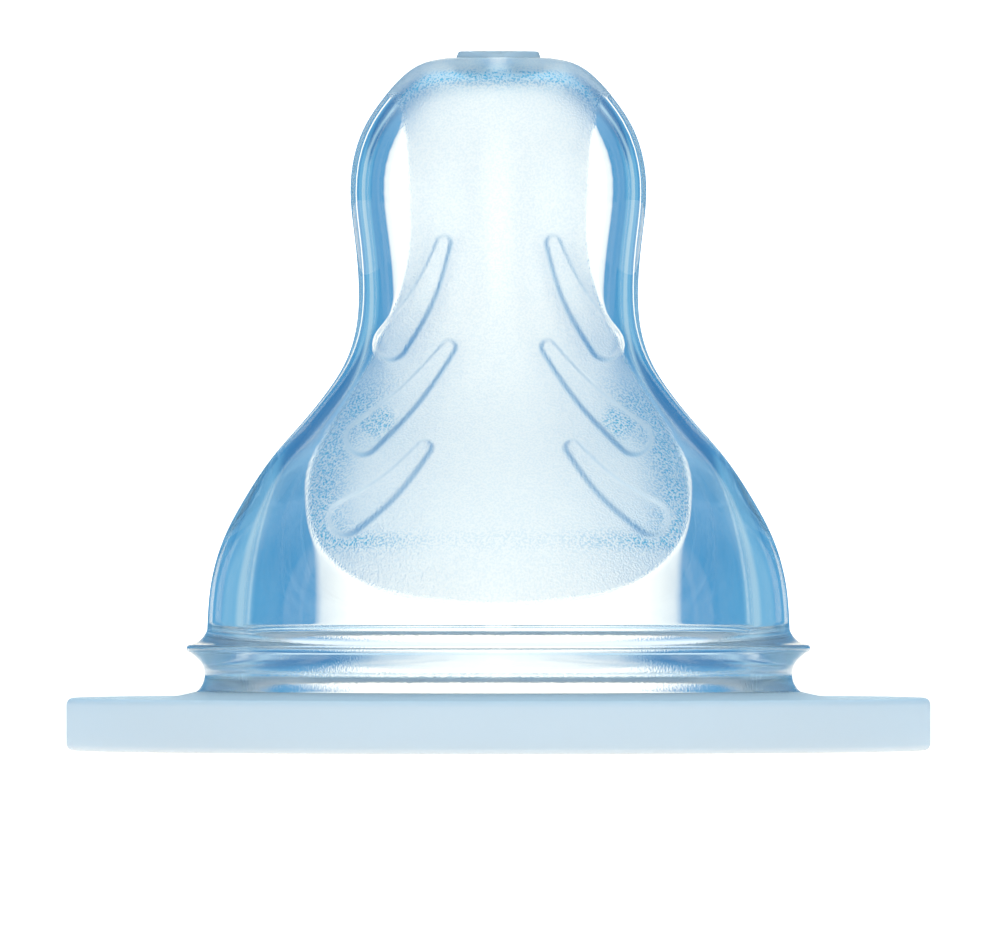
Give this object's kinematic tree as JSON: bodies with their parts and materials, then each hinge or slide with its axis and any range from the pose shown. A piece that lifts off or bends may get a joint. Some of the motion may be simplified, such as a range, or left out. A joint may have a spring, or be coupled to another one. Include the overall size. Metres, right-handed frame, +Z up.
{
  "type": "silicone feeding teat",
  "caption": "Clear silicone teat for a baby bottle: flat sealing flange, grooved neck and a bell that narrows to a flattened nipple that bends.",
  "frame": {"origin": "centre of the flange's underside, in the plane that rests on the bottle's rim", "axes": "+Z up through the feed hole, X along the nipple's wide direction, -Y towards the front panel"},
  "size_m": [0.05, 0.05, 0.0404],
  "materials": {
    "clear_silicone": "clear, faintly blue, glossy",
    "milky_silicone": "milky pale blue, satin",
    "frosted_silicone": "frosted, fine grain"
  },
  "bodies": {
    "base": {"sealing_flange": "milky_silicone", "collar_groove": "clear_silicone", "retaining_bead": "clear_silicone", "bell_wall": "clear_silicone", "flex_wall": "clear_silicone", "panel_front_bell": "frosted_silicone", "panel_front_flex": "frosted_silicone", "panel_back_bell": "frosted_silicone", "panel_back_flex": "frosted_silicone", "rib_front_lower_left": "frosted_silicone", "rib_front_lower_right": "frosted_silicone", "rib_front_middle_left": "frosted_silicone", "rib_front_middle_right": "frosted_silicone", "rib_back_lower_left": "frosted_silicone", "rib_back_lower_right": "frosted_silicone", "rib_back_middle_left": "frosted_silicone", "rib_back_middle_right": "frosted_silicone"},
    "nipple": {"nipple_wall": "clear_silicone", "nipple_crown": "frosted_silicone", "tip_pad": "frosted_silicone", "panel_front_nipple": "frosted_silicone", "panel_back_nipple": "frosted_silicone", "rib_front_upper_left": "frosted_silicone", "rib_front_upper_right": "frosted_silicone", "rib_back_upper_left": "frosted_silicone", "rib_back_upper_right": "frosted_silicone"}
  },
  "joints": [
    {"name": "nipple_bend", "type": "hinge", "parent": "base", "child": "nipple", "pos_m": [0, 0, 0.0203], "axis": [1, 0, 0], "range_deg": [-25, 25], "stiffness_Nm_per_rad": 0.05, "deforming": ["flex_wall", "panel_front_flex", "panel_back_flex", "rib_front_middle_left", "rib_front_middle_right", "rib_back_middle_left", "rib_back_middle_right"]}
  ]
}
